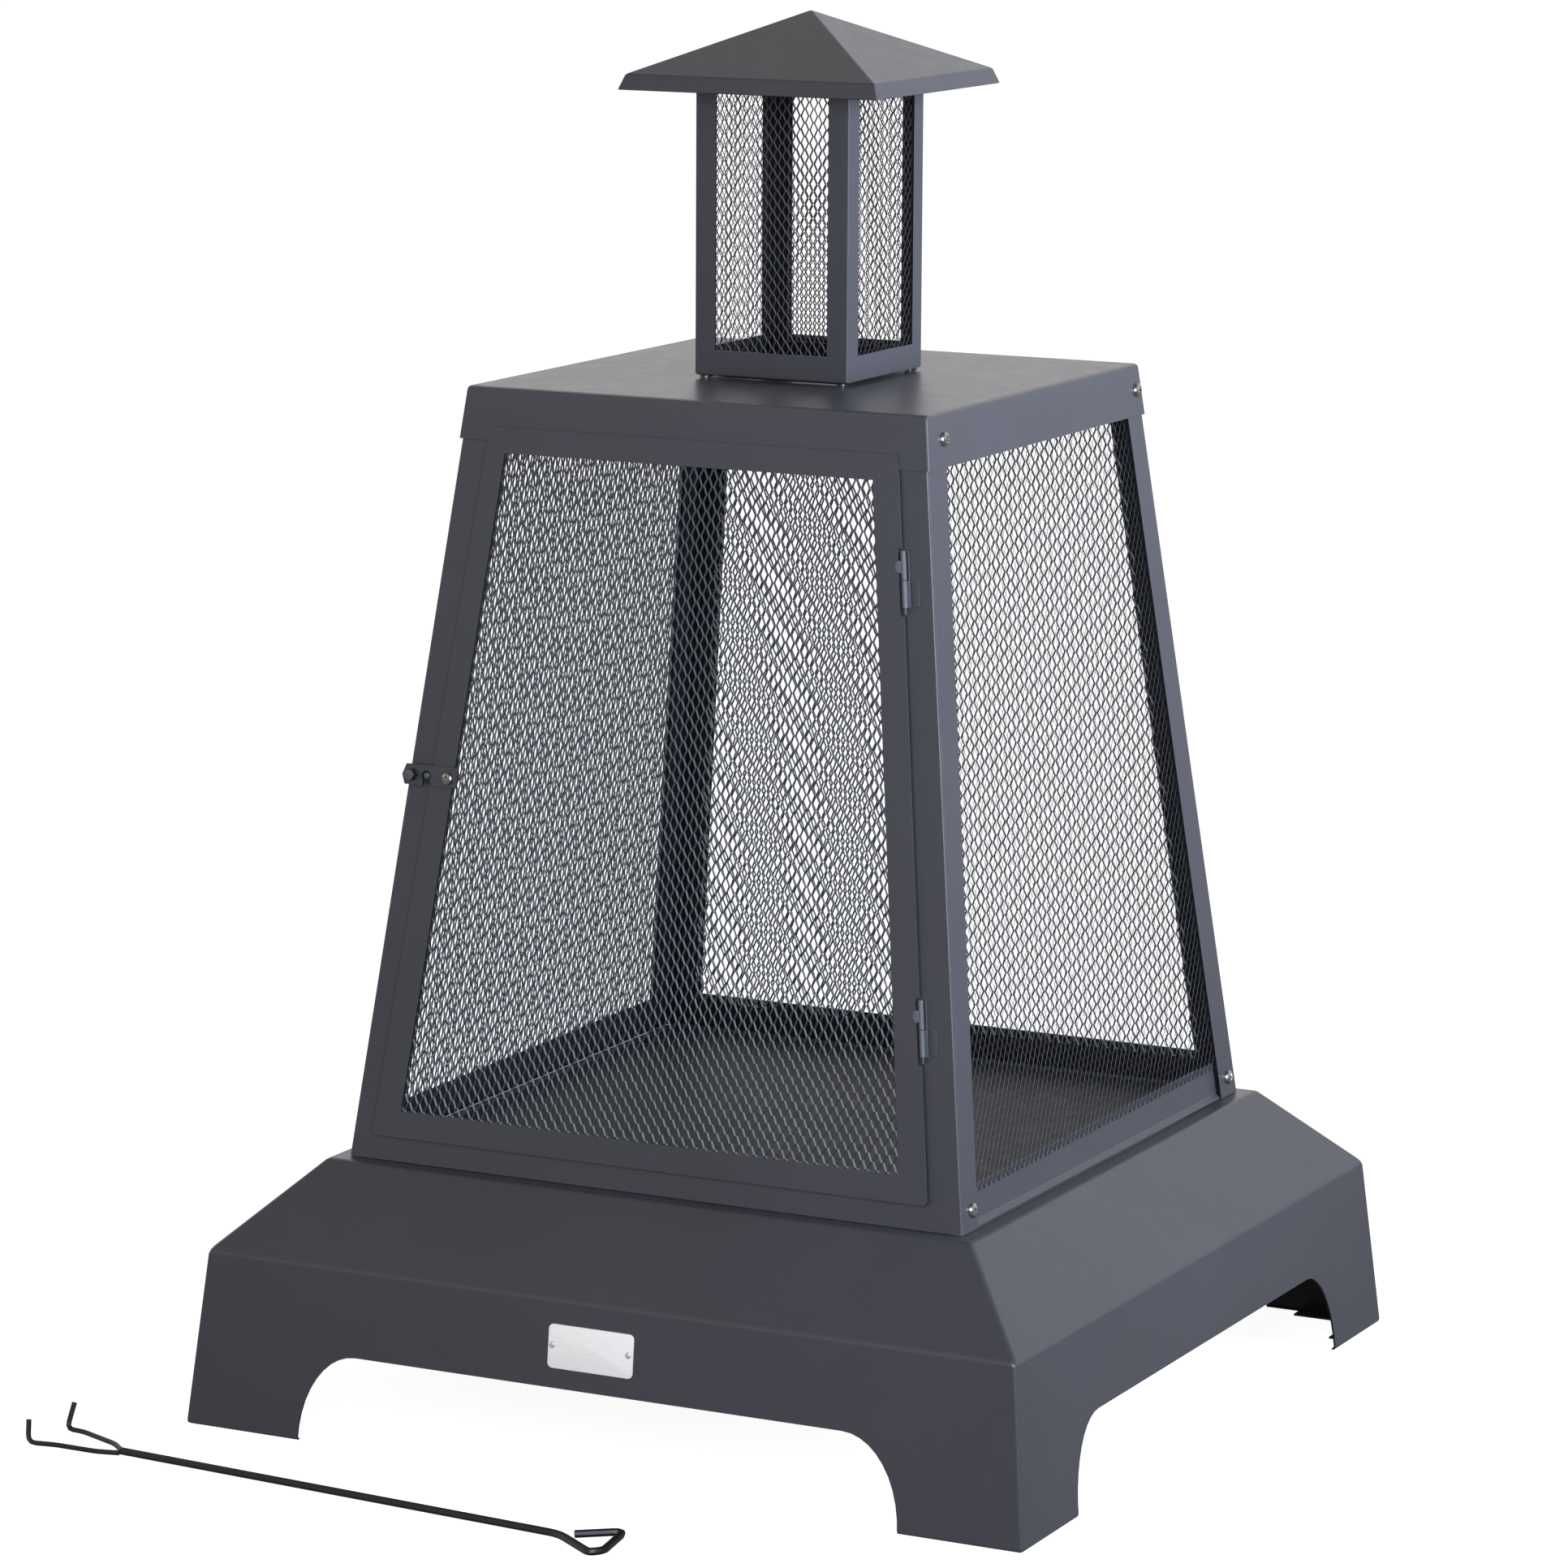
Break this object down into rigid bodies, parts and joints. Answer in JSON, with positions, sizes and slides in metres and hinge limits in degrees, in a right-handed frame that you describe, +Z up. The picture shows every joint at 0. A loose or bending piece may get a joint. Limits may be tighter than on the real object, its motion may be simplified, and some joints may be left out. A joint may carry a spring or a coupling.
{
  "type": "chiminea",
  "caption": "Square steel garden chiminea with leaning mesh walls, hinged mesh door with a drop latch, mesh chimney under a pyramid roof, arched pedestal and a loose poker.",
  "frame": {"origin": "on the ground, middle of the footprint of the whole set: the chiminea and the poker lying in front of it", "axes": "+Z up, the door faces -Y, +X to the right as seen from the front; the chiminea's own centre line stands at x 0.03875, y 0.0736"},
  "size_m": [0.7767, 0.8477, 1.0629],
  "materials": {
    "powder_coat": "satin charcoal powder coat",
    "mesh_paint": "satin dark paint on expanded metal",
    "bright_nickel": "bright nickel plate",
    "plate_metal": "brushed",
    "poker_black": "satin black"
  },
  "bodies": {
    "body": {"back_mesh": "mesh_paint", "back_panel": "powder_coat", "chimney_frame": "powder_coat", "chimney_mesh_back": "mesh_paint", "chimney_mesh_front": "mesh_paint", "chimney_mesh_left": "mesh_paint", "chimney_mesh_right": "mesh_paint", "chimney_screw_left_back": "bright_nickel", "chimney_screw_left_front": "bright_nickel", "chimney_screw_right_back": "bright_nickel", "chimney_screw_right_front": "bright_nickel", "chimney_washer_left_back": "bright_nickel", "chimney_washer_left_front": "bright_nickel", "chimney_washer_right_back": "bright_nickel", "chimney_washer_right_front": "bright_nickel", "front_panel": "powder_coat", "hearth_bolt_left_back": "powder_coat", "hearth_bolt_left_front": "powder_coat", "hearth_bolt_right_back": "powder_coat", "hearth_bolt_right_front": "powder_coat", "hearth_plate": "powder_coat", "latch_stud": "powder_coat", "left_mesh": "mesh_paint", "left_panel": "powder_coat", "lid": "powder_coat", "lid_screw_left_back": "bright_nickel", "lid_screw_left_front": "bright_nickel", "lid_screw_right_back": "bright_nickel", "lid_screw_right_front": "bright_nickel", "lower_hinge_frame_leaf": "powder_coat", "lower_hinge_pin": "powder_coat", "name_plate": "plate_metal", "pedestal": "powder_coat", "plate_rivet_left": "plate_metal", "plate_rivet_right": "plate_metal", "right_mesh": "mesh_paint", "right_panel": "powder_coat", "roof_bar": "powder_coat", "roof_cap": "powder_coat", "roof_nut": "bright_nickel", "roof_stud": "bright_nickel", "upper_hinge_frame_leaf": "powder_coat", "upper_hinge_pin": "powder_coat", "wall_screw_left_back": "bright_nickel", "wall_screw_left_front": "bright_nickel", "wall_screw_right_back": "bright_nickel", "wall_screw_right_front": "bright_nickel"},
    "door": {"door_frame": "powder_coat", "door_mesh": "mesh_paint", "door_mesh_strip": "powder_coat", "upper_hinge_door_knuckle": "powder_coat", "lower_hinge_door_knuckle": "powder_coat", "latch_pivot_screw": "bright_nickel"},
    "latch": {"latch_bar": "powder_coat", "latch_knob": "powder_coat"},
    "poker": {"poker_rod": "poker_black", "poker_prong_near": "poker_black", "poker_prong_far": "poker_black"}
  },
  "joints": [
    {"name": "door_swing", "type": "hinge", "parent": "body", "child": "door", "pos_m": [0.25573, -0.17121, 0.34678], "axis": [-0.1091, 0.1158, 0.9873], "range_deg": [0, 110]},
    {"name": "latch_pivot", "type": "hinge", "parent": "door", "child": "latch", "pos_m": [-0.14775, -0.15, 0.49321], "axis": [0, 0.9932, -0.1165], "range_deg": [0, 75]},
    {"name": "poker_lift", "type": "slide", "parent": "body", "child": "poker", "axis": [0, 0, 1], "range_m": [0, 0.25]}
  ]
}
